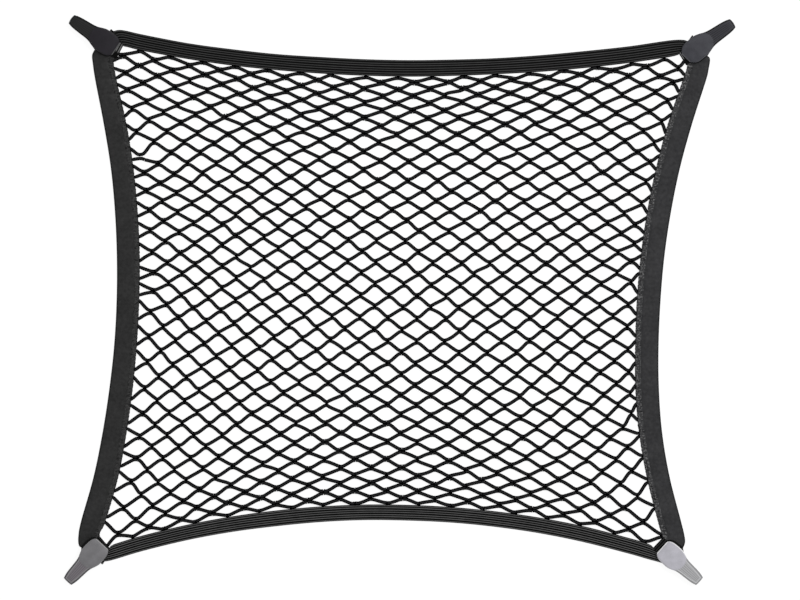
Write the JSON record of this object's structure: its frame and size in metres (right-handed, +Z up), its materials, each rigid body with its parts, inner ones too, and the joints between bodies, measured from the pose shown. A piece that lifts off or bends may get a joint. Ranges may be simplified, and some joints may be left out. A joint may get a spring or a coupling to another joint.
{
  "type": "cargo net",
  "caption": "Rectangular stretch cargo net: diamond mesh between two elastic bands and two woven side sleeves, with a plastic hook clip at each corner.",
  "frame": {"origin": "middle of the net's overall outline, on the surface it lies on", "axes": "+X to the right along the top and bottom bands, +Y towards the top band, +Z up out of the shown face"},
  "size_m": [0.8388, 0.7116, 0.0116],
  "materials": {
    "net_cord": "black knotless polyester netting, chain-stitched strands",
    "elastic_webbing": "black ribbed elastic webbing",
    "sleeve_tape": "dark grey woven tape, folded and overlocked",
    "charcoal_plastic": "near-black moulded plastic, satin",
    "slate_plastic": "slate grey moulded plastic, satin",
    "mid_grey_plastic": "mid grey moulded plastic, satin",
    "light_grey_plastic": "light bluish grey moulded plastic, satin"
  },
  "bodies": {
    "root": {"net": "net_cord", "band_top": "elastic_webbing", "band_bottom": "elastic_webbing", "sleeve_left": "sleeve_tape", "sleeve_right": "sleeve_tape", "strap_top_left": "elastic_webbing", "strap_top_right": "elastic_webbing", "strap_bottom_left": "elastic_webbing", "strap_bottom_right": "elastic_webbing", "clip_top_left": "charcoal_plastic", "clip_top_right": "slate_plastic", "clip_bottom_left": "mid_grey_plastic", "clip_bottom_right": "light_grey_plastic"}
  },
  "joints": []
}
